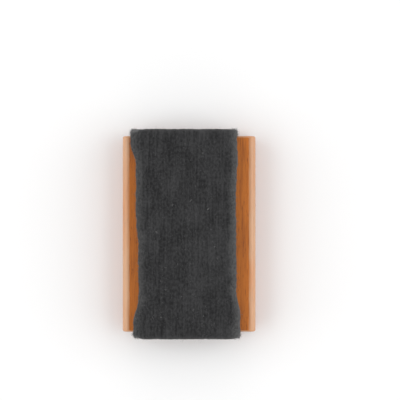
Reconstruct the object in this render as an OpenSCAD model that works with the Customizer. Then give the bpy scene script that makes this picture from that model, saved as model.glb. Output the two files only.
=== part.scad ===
// Chalkboard eraser: a varnished wooden block with a padded felt face.
// Two felt underlays lie on the block's face. A cover strip of dense felt is pulled tight over them,
// turned down over both end faces and held there by a row of staples. The pull narrows its waist.
// Frame: the back of the block rests on z = 0, centred on the origin.
// X runs across the block, Y along it, and +Z points out of the wiping face. Sizes are in millimetres.

/* [Wood block] */
// Width of the block
block_w = 66; // [60:1:75]
// Length of the block, along the grain
block_l = 97; // [85:1:120]
// Thickness of the block
block_h = 19; // [17:0.5:24]
// Radius of the long edges of the back
back_edge_r = 5; // [3:0.5:5]
// Radius of the long edges beside the felt
face_edge_r = 3; // [1:0.5:3]
// Radius of the cutter that forms each finger groove
groove_r = 5; // [4:0.5:5]
// Depth of each finger groove
groove_depth = 2.8; // [1:0.1:3.5]
// Radius of the rounded lips of the finger grooves
lip_r = 1.2; // [1.2:0.1:1.4]
// Easing radius of the sawn ends
end_edge_r = 1; // [0.5:0.1:1.5]

/* [Felt] */
// Thickness of each underlay
underlay_t = 3; // [2:0.5:4]
// Width of each underlay
underlay_w = 45; // [40:0.5:46]
// Thickness of the cover strip
cover_t = 3; // [2:0.5:4]
// Width of the cover strip where it is stapled
strip_w = 52.4; // [50:0.1:54]
// Width of the cover strip at its waist
waist_w = 48.2; // [47:0.1:50]
// Length over which the cover strip widens from its waist to the near end
near_flare_l = 12; // [8:1:20]
// Length over which the cover strip widens from its waist to the far end
far_flare_l = 20; // [8:1:30]
// Sideways offset of the strip and underlays from the block's centre
strip_shift = -1; // [-1.5:0.1:1.5]
// Further sideways drift of the cover strip at its far end
far_drift = -1.2; // [-1.5:0.1:1.5]
// Inside radius of the cover strip where it turns over an end
turn_r = 1.5; // [1:0.1:2]
// Distance that the cover strip runs down each end face of the block
end_drop = 12.5; // [10:0.5:14]

/* [Staples] */
// Distance between neighbouring staples
staple_pitch = 16.5; // [15:0.5:17]
// Outside width of a staple's crown
crown_w = 12; // [10:0.5:13]
// Length of a staple's legs
leg_l = 8; // [6:0.5:10]
// Thickness of the flattened wire
wire_t = 0.65; // [0.5:0.05:0.8]
// Width of the flattened wire
wire_w = 0.95; // [0.8:0.05:1.2]
// Outside radius of a staple's bends
bend_r = 1.2; // [1:0.1:1.5]
// Depth of the crown's outer face below the felt's surface
crown_sink = 0.7; // [0.4:0.1:1]

/* [Hidden] */
$fn = 96;

varnish = "#b0692f";
underlay_grey = "#4b4a47";
cover_grey = "#37393a";
steel = "#b9bcc0";

groove_z = block_h * 0.55;                // height of each finger groove's centre line
underlay_top = block_h + 2 * underlay_t;
total_h = underlay_top + cover_t;
end_y = block_l / 2;                      // the block's end faces
outer_y = end_y + cover_t;                // the outer faces of the turned-down felt
hem_z = block_h - end_drop;               // the strip's cut ends
staple_z = block_h - 0.55 * end_drop;     // height of both staple rows
crown_y = outer_y - crown_sink;
dimple_margin = 0.45;                     // how far the felt is pressed in round a crown
flare_end = end_y - 5.5;                  // past here the strip has its full width
outline_steps = 48;                       // stations along each side of the strip's outline
past = 1;                                 // how far a cutting shape runs past what it cuts

// 0 below 0, 1 above 1, and a smooth rise between.
function smooth(t) = let (u = min(max(t, 0), 1)) u * u * (3 - 2 * u);

// The strip's half width and centre line at a station y.
function half_width(y) =
    let (flare_l = y < 0 ? near_flare_l : far_flare_l)
    waist_w / 2 + (strip_w - waist_w) / 2 * smooth((abs(y) - flare_end + flare_l) / flare_l);
function centre_line(y) = strip_shift + far_drift * smooth(y / flare_end);

// A 2D rectangle from the lower left corner a to the upper right corner b.
module span(a, b) {
    translate(a) square(b - a);
}

// A 2D rectangle centred on x = 0 whose lower and upper pairs of corners have their own radii.
module rounded_plate(w, h, low_r, high_r) {
    span([-w / 2, low_r], [w / 2, h - high_r]);
    corner_pair(w, low_r, 0, low_r);
    corner_pair(w, h - high_r, h - high_r, high_r);
}

// One pair of round corners of radius r and the bar between them. A radius of 0 draws nothing.
module corner_pair(w, centre_z, bar_z, r) {
    if (r > 0) {
        span([-w / 2 + r, bar_z], [w / 2 - r, bar_z + r]);
        for (side = [-1, 1]) translate([side * (w / 2 - r), centre_z]) circle(r);
    }
}

// Extrudes an outline drawn in X and Z along Y, or one drawn in Y and Z along X, centred on the frame.
module along_y(length) {
    rotate([90, 0, 0]) linear_extrude(length, center = true) children();
}
module along_x(length) {
    rotate([90, 0, 90]) linear_extrude(length, center = true) children();
}

// What the cutter takes out of the block's right side, which is the line x = 0 here.
// The lips are arcs that meet both the side and the groove smoothly.
module groove_cut() {
    cutter_x = groove_r - groove_depth;
    lip_z = sqrt(pow(groove_r + lip_r, 2) - pow(cutter_x + lip_r, 2));
    translate([cutter_x, 0]) circle(groove_r);
    difference() {
        polygon([[cutter_x, 0], [-lip_r, lip_z], [past, lip_z], [past, -lip_z], [-lip_r, -lip_z]]);
        for (level = [-lip_z, lip_z]) translate([-lip_r, level]) circle(lip_r);
    }
}

// Cross-section of the moulding that the block is sawn from.
module moulding() {
    difference() {
        rounded_plate(block_w, block_h, back_edge_r, face_edge_r);
        for (side = [-1, 1]) scale([side, 1]) translate([block_w / 2, groove_z]) groove_cut();
    }
}

module block_blank() {
    intersection() {
        along_y(block_l) moulding();
        along_x(block_w) rounded_plate(block_l, block_h, end_edge_r, end_edge_r);
        translate([0, -end_y]) linear_extrude(block_h)
            rounded_plate(block_w, block_l, end_edge_r, end_edge_r);
    }
}

// U-shaped outline of a staple. Its crown lies on y = 0 and its legs run towards +Y.
module staple_outline() {
    module bent(inset) {
        half = crown_w / 2 - inset;
        r = bend_r - inset;
        span([-half, bend_r], [half, leg_l + inset]);
        span([-half + r, inset], [half - r, bend_r]);
        for (side = [-1, 1]) translate([side * (half - r), bend_r]) circle(r);
    }
    difference() {
        bent(0);
        bent(wire_t);
        // Chisel points: each leg is cut away on its inner side.
        for (side = [-1, 1]) scale([side, 1])
            polygon([
                [crown_w / 2, leg_l],
                [crown_w / 2 - wire_t - past, leg_l],
                [crown_w / 2 - wire_t - past, leg_l - 2 * wire_t],
                [crown_w / 2 - wire_t, leg_l - 2 * wire_t],
            ]);
    }
}

// Moves a staple's outline to its place in the near or the far row: -1 is left, 0 middle, 1 right.
module at_staple(far, place) {
    translate([strip_shift + (far ? far_drift : 0) + place * staple_pitch, 0, staple_z])
        if (far) translate([0, crown_y]) mirror([0, 1, 0]) children();
        else translate([0, -crown_y]) children();
}

module staple(far, place) {
    color(steel) at_staple(far, place)
        linear_extrude(wire_w, center = true) staple_outline();
}

// The dent that a driven crown presses into the felt.
module dimple(far, place) {
    at_staple(far, place)
        translate([-crown_w / 2 - dimple_margin, -crown_sink - past, -wire_w / 2 - dimple_margin])
            cube([crown_w + 2 * dimple_margin, crown_sink + past, wire_w + 2 * dimple_margin]);
}

module all_staples() {
    for (far = [false, true], place = [-1 : 1]) staple(far, place);
}

module wood_block() {
    color(varnish) difference() {
        block_blank();
        all_staples();
    }
}

// An underlay lies flat between two heights. The upper one's ends are rounded under the cover's turn.
module underlay(z, top_r) {
    color(underlay_grey) translate([strip_shift, 0, z])
        along_x(underlay_w) rounded_plate(block_l, underlay_t, 0, top_r);
}
module underlay_lower() {
    underlay(block_h, 0);
}
module underlay_upper() {
    underlay(block_h + underlay_t, turn_r);
}

// Side view of the cover strip: flat on top, turned down round both ends, open below.
module strip_path() {
    difference() {
        translate([0, hem_z]) rounded_plate(2 * outer_y, total_h - hem_z, 0, turn_r + cover_t);
        translate([0, hem_z - past])
            rounded_plate(block_l, underlay_top - hem_z + past, 0, turn_r);
    }
}

// Plan of the cover strip: full width at both ends, narrowed between them by the pull along it.
module strip_plan() {
    stations = [for (i = [0 : outline_steps]) outer_y * (2 * i / outline_steps - 1)];
    right = [for (y = stations) [centre_line(y) + half_width(y), y]];
    left = [for (y = stations) [centre_line(y) - half_width(y), y]];
    polygon(concat(right, [for (i = [outline_steps : -1 : 0]) left[i]]));
}

module felt_cover() {
    color(cover_grey) difference() {
        intersection() {
            along_x(block_w) strip_path();
            linear_extrude(total_h) strip_plan();
        }
        all_staples();
        for (far = [false, true], place = [-1 : 1]) dimple(far, place);
    }
}

wood_block();
underlay_lower();
underlay_upper();
felt_cover();
staple(false, -1);  // staple_near_left
staple(false, 0);  // staple_near_middle
staple(false, 1);  // staple_near_right
staple(true, -1);  // staple_far_left
staple(true, 0);  // staple_far_middle
staple(true, 1);  // staple_far_right
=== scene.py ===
"""Chalkboard eraser: the Blender pieces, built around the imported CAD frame.

Units are metres. X runs across the block, Y along it, and Z out of the felt face. The cover strip is laid
out in its own coordinates first: across it, along it from its middle, and through it from its underside.
"""

import math
import random

import bpy
import numpy as np
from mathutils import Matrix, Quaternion, Vector, noise


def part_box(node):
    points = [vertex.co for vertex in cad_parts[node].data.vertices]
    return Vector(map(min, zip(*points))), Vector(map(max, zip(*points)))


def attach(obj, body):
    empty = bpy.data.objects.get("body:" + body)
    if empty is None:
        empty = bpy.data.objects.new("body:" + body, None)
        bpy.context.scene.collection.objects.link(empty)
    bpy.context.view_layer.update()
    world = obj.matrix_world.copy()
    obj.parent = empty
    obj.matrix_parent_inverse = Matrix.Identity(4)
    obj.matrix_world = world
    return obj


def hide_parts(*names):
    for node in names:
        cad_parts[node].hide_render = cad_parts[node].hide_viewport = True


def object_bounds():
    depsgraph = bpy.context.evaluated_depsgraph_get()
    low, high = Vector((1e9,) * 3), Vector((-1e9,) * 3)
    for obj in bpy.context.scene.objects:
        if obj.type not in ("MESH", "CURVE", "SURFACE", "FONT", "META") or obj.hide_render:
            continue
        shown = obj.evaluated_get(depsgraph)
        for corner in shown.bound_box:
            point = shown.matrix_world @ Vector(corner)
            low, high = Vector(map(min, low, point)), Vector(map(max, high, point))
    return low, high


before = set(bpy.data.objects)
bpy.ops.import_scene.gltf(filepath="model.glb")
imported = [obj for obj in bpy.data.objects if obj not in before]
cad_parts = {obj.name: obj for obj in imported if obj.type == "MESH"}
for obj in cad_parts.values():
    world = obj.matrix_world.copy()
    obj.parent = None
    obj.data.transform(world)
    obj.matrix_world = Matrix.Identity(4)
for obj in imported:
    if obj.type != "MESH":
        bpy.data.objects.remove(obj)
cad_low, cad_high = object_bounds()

MM = 0.001
BODY = "root"
NEAR, FAR = -1, 1
STAPLES = [f"staple_{end}_{place}" for end in ("near", "far") for place in ("left", "middle", "right")]

# What the frame says.
wood_low, wood_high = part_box("wood_block")
cover_low, cover_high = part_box("felt_cover")
underlay_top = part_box("underlay_upper")[1].z
staple_boxes = [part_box(name) for name in STAPLES]
COVER_T = cover_high.z - underlay_top


# ---------------------------------------------------------------- small tools

def smooth(t):
    """0 below 0, 1 above 1, and a smooth rise between, for a number or an array."""
    u = np.clip(t, 0, 1)
    return u * u * (3 - 2 * u)


def border(distance, half, reach):
    """1 at half on either side of the middle, falling to 0 over the reach inside that."""
    return smooth((np.abs(distance) - half + reach) / reach)


NOISE_SHIFT = Vector((17.3, 5.9, 9.1))


def noise_at(points, size, seed):
    """Smooth noise from -1 to 1 at each point. size is how large its lumps are along each axis."""
    shift = NOISE_SHIFT * seed
    scaled = np.asarray(points) / np.asarray(size)
    return np.array([noise.noise(Vector(p) + shift) for p in scaled.tolist()])


def rough(points, layers, seed):
    """Layers of noise added up. Each has its depth, and the size of its lumps along each axis, in mm."""
    height = 0
    for number, (depth, size) in enumerate(layers):
        height += depth * MM * noise_at(points, np.array(size) * MM, seed + number)
    return height


ROUND_CUTS = 3  # how many cuts a grid has over each round edge


def cuts(low, high, cell, r):
    """Where a grid is cut between low and high: evenly, and for round edges of radius r at both ends."""
    turn = [math.pi / 4 * (1 - i / ROUND_CUTS) for i in range(ROUND_CUTS)]
    lead = [r * (1 - math.tan(a)) for a in turn]
    count = max(1, round((high - low - 2 * r) / cell))
    middle = np.linspace(low + r, high - r, count + 1)
    return [low + a for a in lead] + list(middle) + [high - a for a in reversed(lead)]


def box_grid(*lists):
    """The points and outward quads of a box's surface, cut at the listed places along its three axes."""
    last = [len(c) - 1 for c in lists]
    index, points, quads = {}, [], []

    def vertex(key):
        if key not in index:
            index[key] = len(points)
            points.append([lists[axis][key[axis]] for axis in range(3)])
        return index[key]

    for axis in range(3):
        first, second = (axis + 1) % 3, (axis + 2) % 3
        for end in (0, last[axis]):
            for i in range(last[first]):
                for j in range(last[second]):
                    corners = []
                    for di, dj in ((0, 0), (1, 0), (1, 1), (0, 1)):
                        key = [0, 0, 0]
                        key[axis], key[first], key[second] = end, i + di, j + dj
                        corners.append(vertex(tuple(key)))
                    quads.append(corners if end else corners[::-1])
    return np.array(points), quads


def round_box(points, r):
    """Rounds the edges of a box's surface points to radius r."""
    low, high = points.min(0) + r, points.max(0) - r
    core = np.clip(points, low, high)
    out = points - core
    return core + r * out / np.linalg.norm(out, axis=1, keepdims=True)


def swept_faces(first, rows, count, turned=False):
    """Quads round a sweep with that many rows of count points each, and a face on both its ends.

    first is the number of its first point. turned makes every face look the other way.
    """
    last = first + (rows - 1) * count
    faces = []
    for row_start in range(first, last, count):
        for i in range(count):
            a, b = row_start + i, row_start + (i + 1) % count
            faces.append([a, b, b + count, a + count])
    faces.append(list(range(first + count - 1, first - 1, -1)))
    faces.append(list(range(last, last + count)))
    return [face[:1] + face[:0:-1] for face in faces] if turned else faces


def new_piece(name, points, faces, materials, replaced=()):
    """A smooth-shaded mesh object that rides on the body and takes the place of the replaced CAD nodes."""
    mesh = bpy.data.meshes.new(name)
    mesh.from_pydata([tuple(p) for p in points], [], faces)
    for material in materials:
        mesh.materials.append(material)
    mesh.polygons.foreach_set("use_smooth", [True] * len(mesh.polygons))
    mesh.update()
    piece = bpy.data.objects.new(name, mesh)
    bpy.context.scene.collection.objects.link(piece)
    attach(piece, BODY)
    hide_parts(*replaced)
    return piece


def store(piece, name, values):
    """Keeps one number or one vector per point on a piece's mesh, for its material to read."""
    vector = np.ndim(values) == 2
    kind = "FLOAT_VECTOR" if vector else "FLOAT"
    layer = piece.data.attributes.new(name, kind, "POINT")
    layer.data.foreach_set("vector" if vector else "value", np.ravel(values))


# ---------------------------------------------------------------- shader tools

def new_material(name, **surface_values):
    """A material with one Principled shader. The values are set on the shader's own sockets."""
    material = bpy.data.materials.new(name)
    material.use_nodes = True
    tree = material.node_tree
    surface = tree.nodes["Principled BSDF"]
    for socket, value in surface_values.items():
        surface.inputs[socket.replace("_", " ")].default_value = value
    return material, tree, surface


def add(tree, kind, inputs, **settings):
    """Adds a node, sets or links its inputs, and returns the node."""
    node = tree.nodes.new(kind)
    for key, value in settings.items():
        setattr(node, key, value)
    for key, value in inputs.items():
        if isinstance(value, bpy.types.NodeSocket):
            tree.links.new(value, node.inputs[key])
        else:
            node.inputs[key].default_value = value
    return node


def math_node(tree, operation, first, second=0.0):
    return add(tree, "ShaderNodeMath", {0: first, 1: second}, operation=operation).outputs[0]


def total(tree, *values):
    """The values added up."""
    result = values[0]
    for value in values[1:]:
        result = math_node(tree, "ADD", result, value)
    return result


def vector_node(tree, operation, first, second):
    return add(tree, "ShaderNodeVectorMath", {0: first, 1: second}, operation=operation).outputs[0]


def levels(tree, value, low, high, to_low=0.0, to_high=1.0):
    """Maps low..high to to_low..to_high along a smooth curve, and holds the ends."""
    inputs = {"Value": value, "From Min": low, "From Max": high, "To Min": to_low, "To Max": to_high}
    return add(tree, "ShaderNodeMapRange", inputs, interpolation_type="SMOOTHSTEP").outputs["Result"]


def mix(tree, factor, first, second):
    return add(tree, "ShaderNodeMix", {0: factor, 6: first, 7: second}, data_type="RGBA").outputs[2]


def grain(tree, place, size_mm, detail=3.0, roughness=0.55):
    """Noise whose lumps have the given size in millimetres along each axis."""
    per_metre = [1 / (s * MM) for s in size_mm]
    scaled = vector_node(tree, "MULTIPLY", place, per_metre)
    inputs = {"Vector": scaled, "Scale": 1.0, "Detail": detail, "Roughness": roughness}
    return add(tree, "ShaderNodeTexNoise", inputs).outputs["Fac"]


def bump(tree, height, depth_mm, strength, under=None):
    """A normal that follows height. It is laid over the normal under, if there is one."""
    inputs = {"Height": height, "Distance": depth_mm * MM, "Strength": strength}
    if under is not None:
        inputs["Normal"] = under
    return add(tree, "ShaderNodeBump", inputs).outputs["Normal"]


def stored(tree, name, output):
    """What store() kept on the mesh under that name."""
    return add(tree, "ShaderNodeAttribute", {}, attribute_name=name).outputs[output]


def object_place(tree):
    return add(tree, "ShaderNodeTexCoord", {}).outputs["Object"]


# ---------------------------------------------------------------- wood material

LIGHT_WOOD = (0.535, 0.150, 0.009, 1)
DARK_WOOD = (0.21, 0.044, 0.003, 1)
# Paler wood for varnish rubbed thin at the edges; along the face edges it is also a painted reflection of the
# light.
PALE_WEAR_AND_REFLECTION = (0.62, 0.37, 0.21, 1)

# The growth rings: where their pith is and how it leans, their width, how far they sway, and how much they
# show along the grain and on the sawn ends, which are also stained darker.
PITH = (-26 * MM, 0.0, -70 * MM)
PITH_LEAN = (1, 0.05, 1)
RING_WIDTH = 2.6 * MM
RING_SWAY = 4.5 * MM
SWAY_LUMP_MM = (14, 60, 14)
RING_DEPTH = 0.24
END_RING_DEPTH = 0.60
END_STAIN = 0.35

# Sizes of the wood's fibres, flecks and lighter or darker patches, across and along the grain, in mm.
WOOD_FIBRE_MM = (0.30, 12, 0.30)
FLECK_MM = (0.40, 3.4, 0.40)
PATCH_MM = (10, 34, 10)


def late_wood(tree, place):
    """0 in the early wood of each growth ring, rising to 1 in its late wood."""
    from_pith = vector_node(tree, "SUBTRACT", place, PITH)
    leaning = vector_node(tree, "MULTIPLY", from_pith, PITH_LEAN)
    radius = add(tree, "ShaderNodeVectorMath", {0: leaning}, operation="LENGTH").outputs["Value"]
    sway = math_node(tree, "MULTIPLY", grain(tree, place, SWAY_LUMP_MM, detail=2), RING_SWAY)
    ring_count = math_node(tree, "DIVIDE", math_node(tree, "ADD", radius, sway), RING_WIDTH)
    within_ring = math_node(tree, "PINGPONG", ring_count, 0.5)
    return levels(tree, within_ring, 0.18, 0.5)


def sawn_ends(tree):
    """1 on the faces that look along the block, and 0 elsewhere."""
    normal = add(tree, "ShaderNodeNewGeometry", {}).outputs["Normal"]
    facing = add(tree, "ShaderNodeSeparateXYZ", {0: normal}).outputs["Y"]
    return levels(tree, math_node(tree, "ABSOLUTE", facing), 0.5, 0.95)


def wear_and_reflection(tree, fibres, patches):
    """How much of the paler tone shows: varnish rubbed thin at the edges, and along the face edges a painted
    reflection of the light, feathered along the fibres and stronger in some patches.
    """
    feathered = total(tree, stored(tree, "edge", "Fac"), levels(tree, fibres, 0.3, 0.7, 0.22, -0.22))
    in_patches = levels(tree, patches, 0.25, 0.65, 0.38, 0.78)
    return math_node(tree, "MULTIPLY", levels(tree, feathered, 0.30, 0.85), in_patches)


def varnished_wood():
    """Stained beech under clear varnish: rings, fibres, flecks, dark pores, and paler edges, where the varnish
    is rubbed thin and, along the face, a reflection is painted.

    The sawn ends drink more stain, so they are darker and their rings show more.
    """
    material, tree, surface = new_material(
        "varnished_wood", Roughness=0.45, Specular_IOR_Level=0.25,
        Coat_Weight=0.7, Coat_Roughness=0.20, Coat_IOR=1.5)
    place = object_place(tree)
    fibres = grain(tree, place, WOOD_FIBRE_MM, detail=4, roughness=0.7)
    flecks = grain(tree, place, FLECK_MM, detail=2)
    patches = grain(tree, place, PATCH_MM, detail=2)
    sawn_end = sawn_ends(tree)
    ring_depth = levels(tree, sawn_end, 0, 1, RING_DEPTH, END_RING_DEPTH)
    darkness = total(tree,
                     math_node(tree, "MULTIPLY", late_wood(tree, place), ring_depth),
                     levels(tree, flecks, 0.60, 0.70, 0.0, 0.55),
                     levels(tree, fibres, 0.35, 0.75, -0.15, 0.50),
                     levels(tree, patches, 0.3, 0.7, -0.15, 0.2),
                     math_node(tree, "MULTIPLY", sawn_end, END_STAIN))
    stained = mix(tree, darkness, LIGHT_WOOD, DARK_WOOD)
    # Paler tone: rubbed varnish at the edges, and a painted reflection along the face edges.
    worn_and_reflecting = mix(tree, wear_and_reflection(tree, fibres, patches), stained, PALE_WEAR_AND_REFLECTION)
    pores = levels(tree, fibres, 0.55, 0.80, 0.0, 0.45)
    tree.links.new(mix(tree, pores, worn_and_reflecting, DARK_WOOD), surface.inputs["Base Color"])
    tree.links.new(bump(tree, fibres, depth_mm=0.05, strength=0.4), surface.inputs["Normal"])
    return material


# ---------------------------------------------------------------- felt and fibre materials

# The dark and the light tone of each felt, and the paler tone of its edges: the cut fibres' own tone, and on
# the cover's sides also painted light on the rim.
UNDERLAY_TONES = ((0.020, 0.020, 0.020, 1), (0.075, 0.074, 0.072, 1), (0.085, 0.084, 0.081, 1))
COVER_TONES = ((0.0085, 0.0085, 0.009, 1), (0.040, 0.040, 0.041, 1), (0.092, 0.092, 0.091, 1))

DARK_FIBRE = (0.035, 0.035, 0.036, 1)
GREY_FIBRE = (0.10, 0.10, 0.102, 1)
LIGHT_GREY_FIBRE = (0.17, 0.17, 0.165, 1)
PALE_LINT = (0.26, 0.26, 0.255, 1)

# Sizes of the felt's streaks, clumps, blotches and single fibres, across, along and through it, in mm. The
# fibres lie in two directions, in degrees from its length.
STREAK_MM = (0.9, 18, 0.9)
CLUMP_MM = (1.0, 1.5, 1.0)
BLOTCH_MM = (8, 9, 8)
FELT_FIBRE_MM = (0.17, 1.0, 0.17)
FIBRE_LEANS = (-24, 31)


def crossing_fibres(tree, place):
    """Single fibres that lie across each other, drawn out along two directions."""
    lain = []
    for lean in FIBRE_LEANS:
        turned = add(tree, "ShaderNodeVectorRotate", {"Vector": place, "Angle": math.radians(lean)},
                     rotation_type="Z_AXIS").outputs["Vector"]
        lain.append(grain(tree, turned, FELT_FIBRE_MM, detail=3, roughness=0.7))
    return math_node(tree, "MAXIMUM", *lain)


def felt(name, tones, streak_depth):
    """Pressed felt: drawn-out streaks, matted clumps, blotches and single fibres, with a paler tone where the
    stored edge share says: cut fibres, and on the cover's sides also painted light on the rim.
    """
    dark, light, cut_edge_and_lit_rim = tones
    material, tree, surface = new_material(
        name, Roughness=0.95, Sheen_Weight=0.15, Sheen_Roughness=0.45, Specular_IOR_Level=0.25)
    place = stored(tree, "place", "Vector")
    streaks = grain(tree, place, STREAK_MM, detail=4, roughness=0.6)
    clumps = grain(tree, place, CLUMP_MM, detail=4, roughness=0.65)
    fibres = crossing_fibres(tree, place)
    blotches = grain(tree, place, BLOTCH_MM, detail=3)
    lightness = total(tree,
                      math_node(tree, "MULTIPLY", levels(tree, streaks, 0.3, 0.7), streak_depth),
                      levels(tree, clumps, 0.3, 0.75, -0.14, 0.66),
                      levels(tree, fibres, 0.45, 0.80, 0.0, 0.34),
                      levels(tree, blotches, 0.3, 0.7, -0.20, 0.20))
    colour = mix(tree, lightness, dark, light)
    in_clumps = levels(tree, clumps, 0.2, 0.7, 0.25, 1.0)
    # The paler edge tone: cut fibres, and on the cover's sides painted light on the rim.
    edge_share = math_node(tree, "MULTIPLY", stored(tree, "edge", "Fac"), in_clumps)
    tree.links.new(mix(tree, edge_share, colour, cut_edge_and_lit_rim), surface.inputs["Base Color"])
    matted = bump(tree, clumps, depth_mm=0.35, strength=0.6)
    hairy = bump(tree, fibres, depth_mm=0.12, strength=0.8, under=matted)
    tree.links.new(hairy, surface.inputs["Normal"])
    return material


def fibre_material(name, colour):
    """Loose wool fibres, each too thin to show more than its own colour."""
    return new_material(name, Base_Color=colour, Roughness=0.9, Sheen_Weight=0.3)[0]


# ---------------------------------------------------------------- staple material

BRIGHT_ZINC = (0.47, 0.47, 0.48, 1)
DULL_ZINC = (0.30, 0.30, 0.31, 1)
DRAWING_MARK_MM = (4.0, 0.10, 0.10)
DULL_SPOT_MM = (1.3, 0.5, 0.5)


def staple_steel():
    """Galvanised wire with drawing marks and duller spots."""
    material, tree, surface = new_material("staple_steel", Metallic=1.0)
    place = object_place(tree)
    marks = grain(tree, place, DRAWING_MARK_MM)
    spots = grain(tree, place, DULL_SPOT_MM)
    colour = mix(tree, levels(tree, spots, 0.35, 0.7), BRIGHT_ZINC, DULL_ZINC)
    tree.links.new(colour, surface.inputs["Base Color"])
    tree.links.new(levels(tree, marks, 0.3, 0.7, 0.26, 0.46), surface.inputs["Roughness"])
    tree.links.new(bump(tree, marks, depth_mm=0.02, strength=0.5), surface.inputs["Normal"])
    return material


# ---------------------------------------------------------------- wood block

# The block's moulding, as it is designed.
BACK_EDGE_R = 5 * MM
FACE_EDGE_R = 3 * MM
GROOVE_R = 5 * MM
GROOVE_DEPTH = 2.8 * MM
LIP_R = 1.2 * MM
END_EDGE_R = 1 * MM
GROOVE_Z = wood_high.z * 0.55

# How pale its edges are painted, for varnish rubbed thin, and how far that reaches over the flat face. On the
# face edge the paler tone is also a painted reflection.
BACK_WEAR = 0.25
LIP_WEAR = 0.6
FACE_WEAR_AND_REFLECTION = 1.0
WEAR_AND_REFLECTION_REACH = 0.9 * MM

# Sanding by hand leaves it slightly uneven.
SANDING_DEPTH = 0.05 * MM
SANDING_SIZE = (9 * MM, 17 * MM, 9 * MM)

# How finely it is divided: its edges, lips and grooves, its flat faces, its end edges, and along it.
EDGE_STEPS = 12
LIP_STEPS = 6
GROOVE_STEPS = 18
FLAT_POINTS = 12
END_STEPS = 6
LENGTH_POINTS = 72


def arc(centre_x, centre_z, r, start, end, steps):
    """Points along an arc, each with its direction from the centre. The angles are in degrees."""
    result = []
    for angle in np.radians(np.linspace(start, end, steps + 1)):
        across, up = math.cos(angle), math.sin(angle)
        result.append(((centre_x + r * across, centre_z + r * up), (across, up)))
    return result


def moulding_profile():
    """Half of the block's cross-section from the middle of its back to the middle of its face.

    Each entry is a point, its outward direction and how pale the edge there is painted: rubbed varnish, and on
    the face edge also a painted reflection.
    """
    half = wood_high.x
    cutter_x = GROOVE_R - GROOVE_DEPTH
    lip_z = math.sqrt((GROOVE_R + LIP_R) ** 2 - (cutter_x + LIP_R) ** 2)
    lean = math.degrees(math.atan2(lip_z, cutter_x + LIP_R))
    back = arc(half - BACK_EDGE_R, BACK_EDGE_R, BACK_EDGE_R, -90, 0, EDGE_STEPS)
    low_lip = arc(half - LIP_R, GROOVE_Z - lip_z, LIP_R, 0, lean, LIP_STEPS)
    groove = arc(half + cutter_x, GROOVE_Z, GROOVE_R, 180 + lean, 180 - lean, GROOVE_STEPS)
    high_lip = arc(half - LIP_R, GROOVE_Z + lip_z, LIP_R, -lean, 0, LIP_STEPS)
    face = arc(half - FACE_EDGE_R, wood_high.z - FACE_EDGE_R, FACE_EDGE_R, 0, 90, EDGE_STEPS)
    back_xs = np.linspace(0, half - BACK_EDGE_R, FLAT_POINTS)[:-1]
    face_xs = np.linspace(half - FACE_EDGE_R - WEAR_AND_REFLECTION_REACH, 0, FLAT_POINTS)

    profile = [((x, 0.0), (0.0, -1.0), 0.0) for x in back_xs]
    profile += [(point, out, BACK_WEAR) for point, out in back]
    profile += [(point, out, LIP_WEAR) for point, out in low_lip]
    # The groove's centre lies outside the wood, so its directions are turned round.
    profile += [(point, (-out[0], -out[1]), 0.0) for point, out in groove[1:-1]]
    profile += [(point, out, LIP_WEAR) for point, out in high_lip]
    # Up the rounding beside the face, the pale tone grows from the lip's share to the full one, which is rubbed
    # varnish and a painted reflection.
    for point, out in face:
        profile.append((point, out, LIP_WEAR + (FACE_WEAR_AND_REFLECTION - LIP_WEAR) * float(smooth(2 * out[1]))))
    return profile + [((x, wood_high.z), (0.0, 1.0), 0.0) for x in face_xs]


def block_stations():
    """Places along the block, each with how far its section is drawn in and how far its end has turned."""
    end = wood_high.y
    turn = [math.pi / 2 * i / END_STEPS for i in range(END_STEPS + 1)]
    near = [(-end + END_EDGE_R * (1 - math.sin(a)), END_EDGE_R * (1 - math.cos(a)), a) for a in turn]
    far = [(-y, inset, a) for y, inset, a in near]
    middle = np.linspace(-end + END_EDGE_R, end - END_EDGE_R, LENGTH_POINTS)[1:-1]
    return near[::-1] + [(y, 0.0, 0.0) for y in middle] + far


def make_block(material):
    """The block: its moulding swept along the grain, with eased ends and a slightly uneven skin."""
    half = moulding_profile()
    mirrored = [((-x, z), (-across, up), worn_and_reflecting) for (x, z), (across, up), worn_and_reflecting in half[-2:0:-1]]
    profile = half + mirrored
    stations = block_stations()
    points, directions, worn_and_reflecting = [], [], []
    for y, inset, turned in stations:
        for (x, z), (across, up), edge in profile:
            points.append((x - across * inset, y, z - up * inset))
            directions.append((across, 0.0, up))
            # The paler share: rubbed varnish, and a painted reflection on the face edge, carried round the
            # eased ends.
            worn_and_reflecting.append(max(edge * math.cos(turned), math.sin(2 * turned)))
    points = np.array(points)
    uneven = SANDING_DEPTH * noise_at(points, SANDING_SIZE, seed=1)
    on_back = points[:, 2] < 0.01 * MM
    points += np.array(directions) * np.where(on_back, 0.0, uneven)[:, None]
    faces = swept_faces(0, len(stations), len(profile), turned=True)
    block = new_piece("wood_block_skin", points, faces, [material], ["wood_block"])
    store(block, "edge", np.array(worn_and_reflecting))


# ---------------------------------------------------------------- felt underlays

# The tight cover presses the felt thinner: the share that it loses, and where the pressing starts and ends.
END_PRESS = 0.13
END_PRESS_START = 24 * MM
SIDE_PRESS = 0.05
SIDE_PRESS_START = 11 * MM
SIDE_PRESS_REACH = 15 * MM
PAD_MIDDLE_X = (cover_low.x + cover_high.x) / 2

# An underlay: the size of its grid's cells, and its soft, bulging and ragged cut sides.
UNDERLAY_CELLS = (1.2 * MM, 0.45 * MM, 0.36 * MM)
UNDERLAY_EDGE_R = 0.6 * MM
UNDERLAY_BULGE = 0.35 * MM
CUT_SIDE_REACH = 1.2 * MM
UNDERLAY_RAGGED = ((0.45, (40, 9, 40)), (0.28, (2, 2.2, 1.1)), (0.16, (0.7, 0.8, 0.5)))


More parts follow.
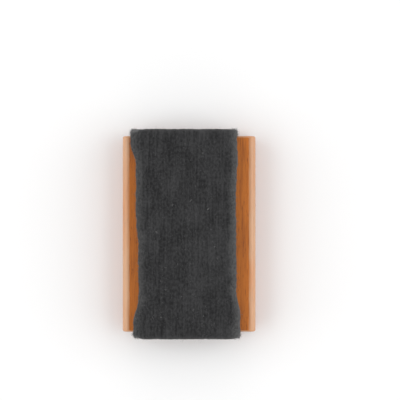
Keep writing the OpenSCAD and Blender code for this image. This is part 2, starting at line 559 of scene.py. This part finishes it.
def press(points):
    """Presses the felt above the block thinner towards its ends and sides, as the tight cover does."""
    past_start = np.abs(points[:, 1]) - END_PRESS_START
    at_end = smooth(past_start / (cover_high.y - END_PRESS_START))
    at_side = smooth((np.abs(points[:, 0] - PAD_MIDDLE_X) - SIDE_PRESS_START) / SIDE_PRESS_REACH)
    above = np.maximum(points[:, 2] - wood_high.z, 0)
    points[:, 2] -= above * (END_PRESS * at_end + SIDE_PRESS * at_side)


def make_underlay(node, material, seed):
    """One underlay: a slab with soft, raggedly cut sides that bulge a little under the pressed cover."""
    low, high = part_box(node)
    grid = [cuts(low[axis], high[axis], UNDERLAY_CELLS[axis], UNDERLAY_EDGE_R) for axis in range(3)]
    flat_points, quads = box_grid(*grid)
    points = round_box(flat_points, UNDERLAY_EDGE_R)
    from_middle = points[:, 0] - (low.x + high.x) / 2
    edge = border(from_middle, (high.x - low.x) / 2, CUT_SIDE_REACH)
    level = (points[:, 2] - low.z) / (high.z - low.z)
    bulge = UNDERLAY_BULGE * np.sin(math.pi * level)
    points[:, 0] += np.sign(from_middle) * edge * (bulge + rough(points, UNDERLAY_RAGGED, seed))
    place = points.copy()
    press(points)
    piece = new_piece(node + "_felt", points, quads, [material], [node])
    store(piece, "place", place)
    store(piece, "edge", edge)
    return piece


# ---------------------------------------------------------------- cover strip: its layout

# The strip's path: flat over the underlays, round a turn over each end, and straight down the end faces. Its
# lengths are measured along its middle layer in the turns. FLAT_W is how wide it is cut.
TURN_R = 1.5 * MM
FLAT_HALF = cover_high.y - COVER_T - TURN_R
TURN_MIDDLE_R = TURN_R + COVER_T / 2
TURN_LENGTH = math.pi / 2 * TURN_MIDDLE_R
STRIP_HALF = FLAT_HALF + TURN_LENGTH + (underlay_top - TURN_R - cover_low.z)
FLAT_W = 52.4 * MM

# How far the strip's edges are from x = 0 at its waist, and where they move out from there. Each flare has
# the end that it is towards, where it starts, how long it is along the strip, and how far it goes out, in mm.
LEFT_WAIST = 24.8 * MM
LEFT_FLARES = ((FAR, -6, 14, 1.2), (NEAR, 31.5, 12, 2.5), (FAR, 34, 11, 2.7))
RIGHT_WAIST = 22.95 * MM
RIGHT_FLARES = ((NEAR, 4, 12, 0.35), (NEAR, 29, 11, 1.7), (FAR, 22, 14, 0.75))


def edge_distance(s, waist, flares):
    """How far an edge of the strip is from x = 0, at the distance s from the strip's middle."""
    result = waist
    for end, start, length, out in flares:
        result = result + out * MM * smooth((end * s - start * MM) / (length * MM))
    return result


def left_edge(s):
    return -edge_distance(s, LEFT_WAIST, LEFT_FLARES)


def right_edge(s):
    return edge_distance(s, RIGHT_WAIST, RIGHT_FLARES)


def strip_frame(s):
    """y and z of the strip's underside at the distance s from its middle, and of its outward normal."""
    side = np.where(s < 0, -1.0, 1.0)
    distance = np.abs(s)
    angle = np.clip((distance - FLAT_HALF) / TURN_MIDDLE_R, 0, math.pi / 2)
    down = np.maximum(distance - FLAT_HALF - TURN_LENGTH, 0)
    normal_y, normal_z = np.sin(angle), np.cos(angle)
    y = np.minimum(distance, FLAT_HALF) + TURN_R * normal_y
    z = underlay_top - TURN_R + TURN_R * normal_z - down
    return side * y, z, side * normal_y, normal_z


def staple_place(box):
    """A staple's middle on the strip: across it, and along it from its middle."""
    middle = (box[0] + box[1]) / 2
    distance = FLAT_HALF + TURN_LENGTH + underlay_top - TURN_R - middle.z
    return middle.x, math.copysign(distance, middle.y)


# ---------------------------------------------------------------- cover strip: its pull, as simulated cloth

SIM_SCALE = 20
SIM_FRAMES = 30
SHRINK = 0.06
FORM_CELL = 3 * MM
START_GAP = 0.2 * MM
PINNED_DEPTH = 0.6 * MM
MOST_LIFT = 0.8 * MM
CROWN_MARGIN = 0.4 * MM
ROW_MARGIN = 0.1 * MM
SETTLE_ROUNDS = 4

# Blender's Cloth as stiff, damped felt, at the scale of the simulation.
FELT_CLOTH = {
    "quality": 12, "mass": 0.3, "air_damping": 4,
    "tension_stiffness": 30, "compression_stiffness": 10, "shear_stiffness": 15, "bending_stiffness": 20,
    "tension_damping": 15, "compression_damping": 15, "shear_damping": 15, "bending_damping": 5,
    "vertex_group_mass": "pins", "shrink_min": SHRINK, "shrink_max": SHRINK,
}

# The simulated grid: shares of the strip's width, and distances along it, with a row on each row of staples.
STAPLE_S = staple_place(staple_boxes[-1])[1]
SHARE_LINES = np.linspace(0, 1, 35)
S_LINES = np.concatenate([np.linspace(-STRIP_HALF, -STAPLE_S, 4)[:-1], np.linspace(-STAPLE_S, STAPLE_S, 75),
                          np.linspace(STAPLE_S, STRIP_HALF, 4)[1:]])


def sim_object(name, points, faces):
    mesh = bpy.data.meshes.new(name)
    mesh.from_pydata((points * SIM_SCALE).tolist(), [], faces)
    thing = bpy.data.objects.new(name, mesh)
    bpy.context.scene.collection.objects.link(thing)
    return thing


def sim_form(name, low, high):
    """A coarse, rounded and pressed box that the simulated strip lies on, half the felt's thickness away."""
    grid = [cuts(low[axis], high[axis], FORM_CELL, TURN_R) for axis in range(3)]
    points, quads = box_grid(*grid)
    points = round_box(points, TURN_R)
    press(points)
    form = sim_object(name, points, quads)
    form.modifiers.new("collision", "COLLISION")
    form.collision.thickness_outer = COVER_T / 2 * SIM_SCALE
    form.collision.cloth_friction = 5
    return form


def sim_strip(points, pinned):
    """The strip as a sheet of cloth that is held by its pinned points."""
    columns, rows = len(SHARE_LINES), len(S_LINES)
    faces = []
    for row_start in range(0, (rows - 1) * columns, columns):
        for a in range(row_start, row_start + columns - 1):
            faces.append([a, a + 1, a + columns + 1, a + columns])
    strip = sim_object("sim_strip", points, faces)
    pins = strip.vertex_groups.new(name="pins")
    pins.add(np.nonzero(pinned)[0].tolist(), 1.0, "REPLACE")
    cloth = strip.modifiers.new("cloth", "CLOTH")
    for key, value in FELT_CLOTH.items():
        setattr(cloth.settings, key, value)
    cloth.settings.effector_weights.gravity = 0
    cloth.collision_settings.distance_min = 0.002
    return strip


def run_cloth(strip):
    """Runs the simulation and returns the strip's points at its end, at real size."""
    for step in range(1, SIM_FRAMES + 1):
        bpy.context.scene.frame_set(step)
    settled = strip.evaluated_get(bpy.context.evaluated_depsgraph_get()).data
    points = np.zeros(3 * len(settled.vertices))
    settled.vertices.foreach_get("co", points)
    return points.reshape(-1, 3) / SIM_SCALE


def crowns_under(x, s):
    """Whether each place on the strip lies under a staple's crown."""
    under = np.zeros(len(x), bool)
    for box in staple_boxes:
        at_x, at_s = staple_place(box)
        crown_half = (box[1].x - box[0].x) / 2
        under |= (np.abs(x - at_x) < crown_half + CROWN_MARGIN) & (np.abs(s - at_s) < ROW_MARGIN)
    return under


def settle(out, pinned):
    """Evens out the last tremor of the simulation, away from the staples."""
    for _ in range(SETTLE_ROUNDS):
        padded = np.pad(out, 1, mode="edge")
        mean = (padded[:-2, 1:-1] + padded[2:, 1:-1] + padded[1:-1, :-2] + padded[1:-1, 2:]) / 4
        out = np.where(pinned, out, (out + mean) / 2)
    return out


def pull_tight():
    """Simulates the cover as cloth that is cut straight, stapled at both ends and pulled tight over the pads.

    Returns how far its middle layer stands out from its designed place, on SHARE_LINES and S_LINES.
    """
    share, s = [lines.ravel() for lines in np.meshgrid(SHARE_LINES, S_LINES)]
    x = (left_edge(s) + right_edge(s)) / 2 + (share - 0.5) * FLAT_W
    y, z, normal_y, normal_z = strip_frame(s)
    designed = np.column_stack([x, y + normal_y * COVER_T / 2, z + normal_z * COVER_T / 2])
    press(designed)
    normals = np.column_stack([np.zeros(len(s)), normal_y, normal_z])
    pinned = crowns_under(x, s)
    start = designed + normals * np.where(pinned, -PINNED_DEPTH, START_GAP)[:, None]
    strip = sim_strip(start, pinned)
    forms = [sim_form("sim_pads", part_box("underlay_lower")[0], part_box("underlay_upper")[1]),
             sim_form("sim_block", wood_low, wood_high)]
    pulled = run_cloth(strip)
    for thing in [strip] + forms:
        bpy.data.objects.remove(thing)
    bpy.context.scene.frame_set(1)
    out = np.maximum(((pulled - designed) * normals).sum(axis=1), -PINNED_DEPTH)
    out = np.where(out > 0, MOST_LIFT * np.tanh(out / MOST_LIFT), out)
    shape = (len(S_LINES), len(SHARE_LINES))
    return settle(out.reshape(shape), pinned.reshape(shape))


def between_lines(grid, share, s):
    """The grid's value at each place on the strip."""
    column = np.clip(np.searchsorted(SHARE_LINES, share) - 1, 0, len(SHARE_LINES) - 2)
    row = np.clip(np.searchsorted(S_LINES, s) - 1, 0, len(S_LINES) - 2)
    a = (share - SHARE_LINES[column]) / (SHARE_LINES[column + 1] - SHARE_LINES[column])
    b = (s - S_LINES[row]) / (S_LINES[row + 1] - S_LINES[row])
    near = grid[row, column] * (1 - a) + grid[row, column + 1] * a
    far = grid[row + 1, column] * (1 - a) + grid[row + 1, column + 1] * a
    return near * (1 - b) + far * b


# ---------------------------------------------------------------- cover strip: its felt

# The grid is laid on a strip of this half width, and then stretched between the real edges.
GRID_HALF_W = 24 * MM
COVER_CELL = 0.45 * MM
COVER_LAYER = 0.36 * MM
CUT_EDGE_R = 0.8 * MM

# Layers for rough(): its ragged sides and wavy hems, with how far in they reach, and the lumps, drawn-out
# furrows and matted clumps of its outer face. PRESSED_FLAT is the share of those that the strongest pull takes.
SIDE_REACH = 1.6 * MM
SIDE_LAYERS = ((0.38, (40, 5.5, 4)), (0.34, (40, 1.7, 1.2)), (0.14, (40, 0.8, 0.6)))
HEM_REACH = 1.4 * MM
HEM_LAYERS = ((0.35, (6, 40, 3)), (0.16, (1.4, 40, 1)))
FACE_LAYERS = ((0.16, (8, 13, 30)), (0.12, (1.7, 17, 30)), (0.08, (0.9, 2.4, 30)))
PRESSED_FLAT = 0.8

# The felt is painted paler along its cuts: the cut fibres' tone, and along its sides also painted light on the
# rim, least so along its left side.
PALE_REACH = 4.8 * MM
PALE_LAYERS = ((1.8, (40, 5, 40)),)
PALE_LEFT = 0.62
PALE_HEM = 0.8


def pale_share(across, place, at_hem):
    """How much of the paler edge tone shows: along the sides the cut fibres' tone with painted light on the
    rim, weaker on the left, and at the hems the cut fibres' tone. It reaches in from the sides in patches.
    """
    reach = PALE_REACH + rough(place, PALE_LAYERS, seed=12)
    # Painted light on the side rims, weaker along the left side, over the cut fibres' paler tone.
    at_side = border(across, GRID_HALF_W, reach) * np.where(across < 0, PALE_LEFT, 1.0)
    return np.maximum(at_side, PALE_HEM * at_hem)


def felt_height(through, place, pulled):
    """How high each point of the strip stands over its underside.

    Where the pull presses the felt, its underside stays, it gets thinner and its face gets smoother.
    """
    outer = smooth((through - 0.4 * COVER_T) / (0.6 * COVER_T))
    flattened = PRESSED_FLAT * np.minimum(pulled, 0) / PINNED_DEPTH
    lumps = rough(place, FACE_LAYERS, seed=8) * (1 + flattened)
    moved = np.where(pulled < 0, pulled * 2 * through / COVER_T, pulled)
    return through + outer * lumps + moved


def make_cover(material):
    """The cover strip: one thick felt band, pulled tight over the underlays and turned down at both ends."""
    grid = (cuts(-GRID_HALF_W, GRID_HALF_W, COVER_CELL, CUT_EDGE_R),
            cuts(-STRIP_HALF, STRIP_HALF, COVER_CELL, CUT_EDGE_R),
            cuts(0, COVER_T, COVER_LAYER, CUT_EDGE_R))
    flat_points, quads = box_grid(*grid)
    across, s, through = round_box(flat_points, CUT_EDGE_R).T
    at_side = border(across, GRID_HALF_W, SIDE_REACH)
    at_hem = border(s, STRIP_HALF, HEM_REACH)
    share = (across / GRID_HALF_W + 1) / 2
    x = left_edge(s) + share * (right_edge(s) - left_edge(s))
    place = np.column_stack([x, s, through])
    x = x + np.sign(across) * at_side * rough(place, SIDE_LAYERS, seed=3)
    s = s + np.sign(s) * at_hem * rough(place, HEM_LAYERS, seed=6)
    height = felt_height(through, place, between_lines(pull_tight(), share, s))
    y, z, normal_y, normal_z = strip_frame(s)
    points = np.column_stack([x, y + normal_y * height, z + normal_z * height])
    press(points)
    cover = new_piece("felt_cover_strip", points, quads, [material], ["felt_cover"])
    store(cover, "place", place)
    store(cover, "edge", pale_share(across, place, at_hem))
    return cover


# ---------------------------------------------------------------- loose fibres

class Fibres:
    """Collects closed, tapering, curled fibres of three sides, and makes one piece of them."""
    RINGS = 6
    SIDES = 3
    TAPER = 0.6
    ROOT_DEPTH = 0.05 * MM
    LEAST_CURL = 0.25

    def __init__(self, seed):
        self.draw = random.Random(seed)
        self.points, self.faces, self.slots = [], [], []

    def direction(self):
        return Vector([self.draw.gauss(0, 1) for _ in range(3)]).normalized()

    def grow(self, vertex, lengths_mm, radii_mm, lift, curl):
        """One fibre, rooted in a vertex. lift turns it away from the felt. It curls up to curl radians."""
        heading = (vertex.normal * lift + self.direction()).normalized()
        one = heading.orthogonal().normalized()
        turn = Quaternion(self.direction(), self.draw.uniform(self.LEAST_CURL, 1) * curl / (self.RINGS - 1))
        step = self.draw.uniform(*lengths_mm) * MM / (self.RINGS - 1)
        thick = self.draw.uniform(*radii_mm) * MM
        place = vertex.co - vertex.normal * self.ROOT_DEPTH
        first = len(self.points)
        for ring in range(self.RINGS):
            two = heading.cross(one)
            r = thick * (1 - self.TAPER * ring / (self.RINGS - 1))
            for side in range(self.SIDES):
                angle = 2 * math.pi * side / self.SIDES
                self.points.append(place + r * (math.cos(angle) * one + math.sin(angle) * two))
            place = place + heading * step
            heading, one = turn @ heading, turn @ one
        self.faces += swept_faces(first, self.RINGS, self.SIDES)

    def scatter(self, count, roots, slots, lengths_mm, radii_mm, lift, curl=6.5):
        """Grows fibres from vertices picked at random, each in one of the numbered materials in slots."""
        for _ in range(count):
            vertex = self.draw.choice(roots)
            slot = self.draw.choice(slots) if len(slots) > 1 else slots[0]
            faces_before = len(self.faces)
            self.grow(vertex, lengths_mm, radii_mm, lift, curl)
            self.slots += [slot] * (len(self.faces) - faces_before)

    def make(self, name, materials):
        nap = new_piece(name, self.points, self.faces, materials)
        nap.data.polygons.foreach_set("material_index", self.slots)


def edge_values(piece):
    values = np.zeros(len(piece.data.vertices))
    piece.data.attributes["edge"].data.foreach_get("value", values)
    return values


# Where fibres grow, by the stored edge value and by how far a vertex normal looks down or sideways.
FRINGE_FROM = 0.36
FACE_BELOW = 0.3
CUT_SIDE_FROM = 0.6
MOST_DOWN = -0.4
LEAST_SIDEWAYS = 0.5


def make_cover_nap(cover, materials):
    """Fibres that stand out of the cover's cut edges or lie on its face, and a few specks of pale lint."""
    nap = Fibres(seed=11)
    dark, grey, pale = range(3)
    edge = edge_values(cover)
    outside = [v for v in cover.data.vertices if v.normal.z > MOST_DOWN]
    on_edge = [v for v in outside if edge[v.index] > FRINGE_FROM]
    on_face = [v for v in outside if edge[v.index] < FACE_BELOW and v.co.z > wood_high.z]
    nap.scatter(130, on_edge, (pale,), lengths_mm=(0.7, 1.9), radii_mm=(0.02, 0.035), lift=0.4)
    nap.scatter(3580, on_edge, (dark, grey), lengths_mm=(0.6, 2.2), radii_mm=(0.014, 0.028), lift=0.7)
    nap.scatter(2300, on_face, (dark, dark, grey), lengths_mm=(0.8, 2.6), radii_mm=(0.014, 0.024), lift=0.15)
    nap.scatter(34, on_face, (pale,), lengths_mm=(0.8, 2.2), radii_mm=(0.045, 0.10), lift=0.1, curl=7.0)
    nap.make("felt_nap", materials)


def make_underlay_nap(pieces, materials):
    """Fibres that stand out of the underlays' cut sides."""
    nap = Fibres(seed=12)
    grey, light = range(2)
    for piece in pieces:
        edge = edge_values(piece)
        cut_side = [v for v in piece.data.vertices if edge[v.index] > CUT_SIDE_FROM]
        on_side = [v for v in cut_side if abs(v.normal.x) > LEAST_SIDEWAYS]
        nap.scatter(1500, on_side, (grey, light), lengths_mm=(0.4, 1.5), radii_mm=(0.014, 0.026), lift=0.6)
    nap.make("underlay_nap", materials)


# ---------------------------------------------------------------- staples

WIRE_T = 0.65 * MM
WIRE_CORNER_R = 0.14 * MM
CORNER_STEPS = 3
BEND_R = 1.2 * MM
BEND_STEPS = 6


def wire_section(half_t, half_w):
    """The flattened wire's cross-section, with round corners: how far out and how far up each point is."""
    section = []
    for corner, (out_side, up_side) in enumerate(((1, 1), (-1, 1), (-1, -1), (1, -1))):
        for step in range(CORNER_STEPS + 1):
            angle = math.pi / 2 * (corner + step / CORNER_STEPS)
            out = out_side * (half_t - WIRE_CORNER_R) + WIRE_CORNER_R * math.cos(angle)
            up = up_side * (half_w - WIRE_CORNER_R) + WIRE_CORNER_R * math.sin(angle)
            section.append((out, up))
    return section


def wire_path(low, high, inward):
    """The middle of a staple's wire from tip to tip: x, y and the angle that it has turned by."""
    crown_y, tip_y = (low.y, high.y) if inward > 0 else (high.y, low.y)
    r = BEND_R - WIRE_T / 2
    path = [(low.x + WIRE_T / 2, tip_y, 0.0)]
    for i in range(BEND_STEPS + 1):
        angle = math.pi / 2 * i / BEND_STEPS
        y = crown_y + inward * BEND_R - inward * r * math.sin(angle)
        path.append((low.x + BEND_R - r * math.cos(angle), y, angle))
    return path + [(low.x + high.x - x, y, math.pi - angle) for x, y, angle in reversed(path)]


def make_staple(name, box, material):
    """A staple bent from flattened wire. Its legs point inward along Y."""
    low, high = box
    inward = 1 if low.y + high.y < 0 else -1
    section = wire_section(WIRE_T / 2, (high.z - low.z) / 2)
    path = wire_path(low, high, inward)
    middle_z = (low.z + high.z) / 2
    points = []
    for x, y, angle in path:
        for out, up in section:
            points.append((x - out * math.cos(angle), y - inward * out * math.sin(angle), middle_z + up))
    faces = swept_faces(0, len(path), len(section), turned=inward < 0)
    new_piece(name + "_wire", points, faces, [material], [name])


# ---------------------------------------------------------------- stage, light and camera

FRAME_WIDTH = 196 * MM
CAMERA_HEIGHT = 0.9
CAMERA_X = 5.4 * MM
CAMERA_Y = 16.8 * MM
FLOOR_HALF = 6.0
FLOOR_WHITE = (0.86, 0.86, 0.855, 1)
SURROUND_SIDE = (1.02, 1.02, 1.02, 1)
SURROUND_TOP = (0.44, 0.44, 0.45, 1)


def make_floor():
    corners = [(x * FLOOR_HALF, y * FLOOR_HALF, 0) for x, y in ((-1, -1), (1, -1), (1, 1), (-1, 1))]
    mesh = bpy.data.meshes.new("floor")
    mesh.from_pydata(corners, [], [[0, 1, 2, 3]])
    mesh.materials.append(new_material("floor_white", Base_Color=FLOOR_WHITE, Roughness=0.8)[0])
    floor = bpy.data.objects.new("floor", mesh)
    bpy.context.scene.collection.objects.link(floor)


def make_sun(name, towards, spread, strength):
    """A soft light that falls evenly on the whole stage. Its spread is in degrees."""
    light = bpy.data.lights.new(name, "SUN")
    light.angle, light.energy = math.radians(spread), strength
    lamp = bpy.data.objects.new(name, light)
    lamp.rotation_euler = Vector(towards).to_track_quat("-Z", "Y").to_euler()
    bpy.context.scene.collection.objects.link(lamp)


def make_light():
    """Soft light from both sides and a little from behind, with a pale surround that is darker overhead."""
    make_sun("left_light", (1.0, 0.0, -0.95), 55, 1.2)
    make_sun("right_light", (-1.0, -0.05, -0.95), 55, 1.2)
    make_sun("far_light", (0.0, -1.0, -1.1), 60, 0.3)
    world = bpy.data.worlds.new("surround")
    bpy.context.scene.world = world
    world.use_nodes = True
    tree = world.node_tree
    direction = add(tree, "ShaderNodeTexCoord", {}).outputs["Generated"]
    height = add(tree, "ShaderNodeSeparateXYZ", {0: direction}).outputs["Z"]
    pale = mix(tree, levels(tree, height, 0.1, 0.9), SURROUND_SIDE, SURROUND_TOP)
    tree.links.new(pale, tree.nodes["Background"].inputs["Color"])


def make_camera():
    """A camera that looks straight down on the felt face. The width that it takes in is measured there."""
    data = bpy.data.cameras.new("camera")
    data.sensor_width = 36
    data.lens = data.sensor_width * (CAMERA_HEIGHT - cad_high.z) / FRAME_WIDTH
    camera = bpy.data.objects.new("camera", data)
    camera.location = (CAMERA_X, CAMERA_Y, CAMERA_HEIGHT)
    bpy.context.scene.collection.objects.link(camera)
    bpy.context.scene.camera = camera


# ---------------------------------------------------------------- build

make_camera()
make_light()
make_floor()
bpy.context.scene.view_settings.view_transform = "Standard"

make_block(varnished_wood())

underlay_material = felt("underlay_felt", UNDERLAY_TONES, streak_depth=0.15)
underlays = [make_underlay("underlay_lower", underlay_material, seed=21),
             make_underlay("underlay_upper", underlay_material, seed=31)]

cover = make_cover(felt("cover_felt", COVER_TONES, streak_depth=0.42))

dark_fibres = fibre_material("dark_fibres", DARK_FIBRE)
grey_fibres = fibre_material("grey_fibres", GREY_FIBRE)
pale_lint = fibre_material("pale_lint", PALE_LINT)
make_cover_nap(cover, [dark_fibres, grey_fibres, pale_lint])
make_underlay_nap(underlays, [grey_fibres, fibre_material("light_grey_fibres", LIGHT_GREY_FIBRE)])

steel = staple_steel()
for staple_name, staple_box in zip(STAPLES, staple_boxes):
    make_staple(staple_name, staple_box, steel)
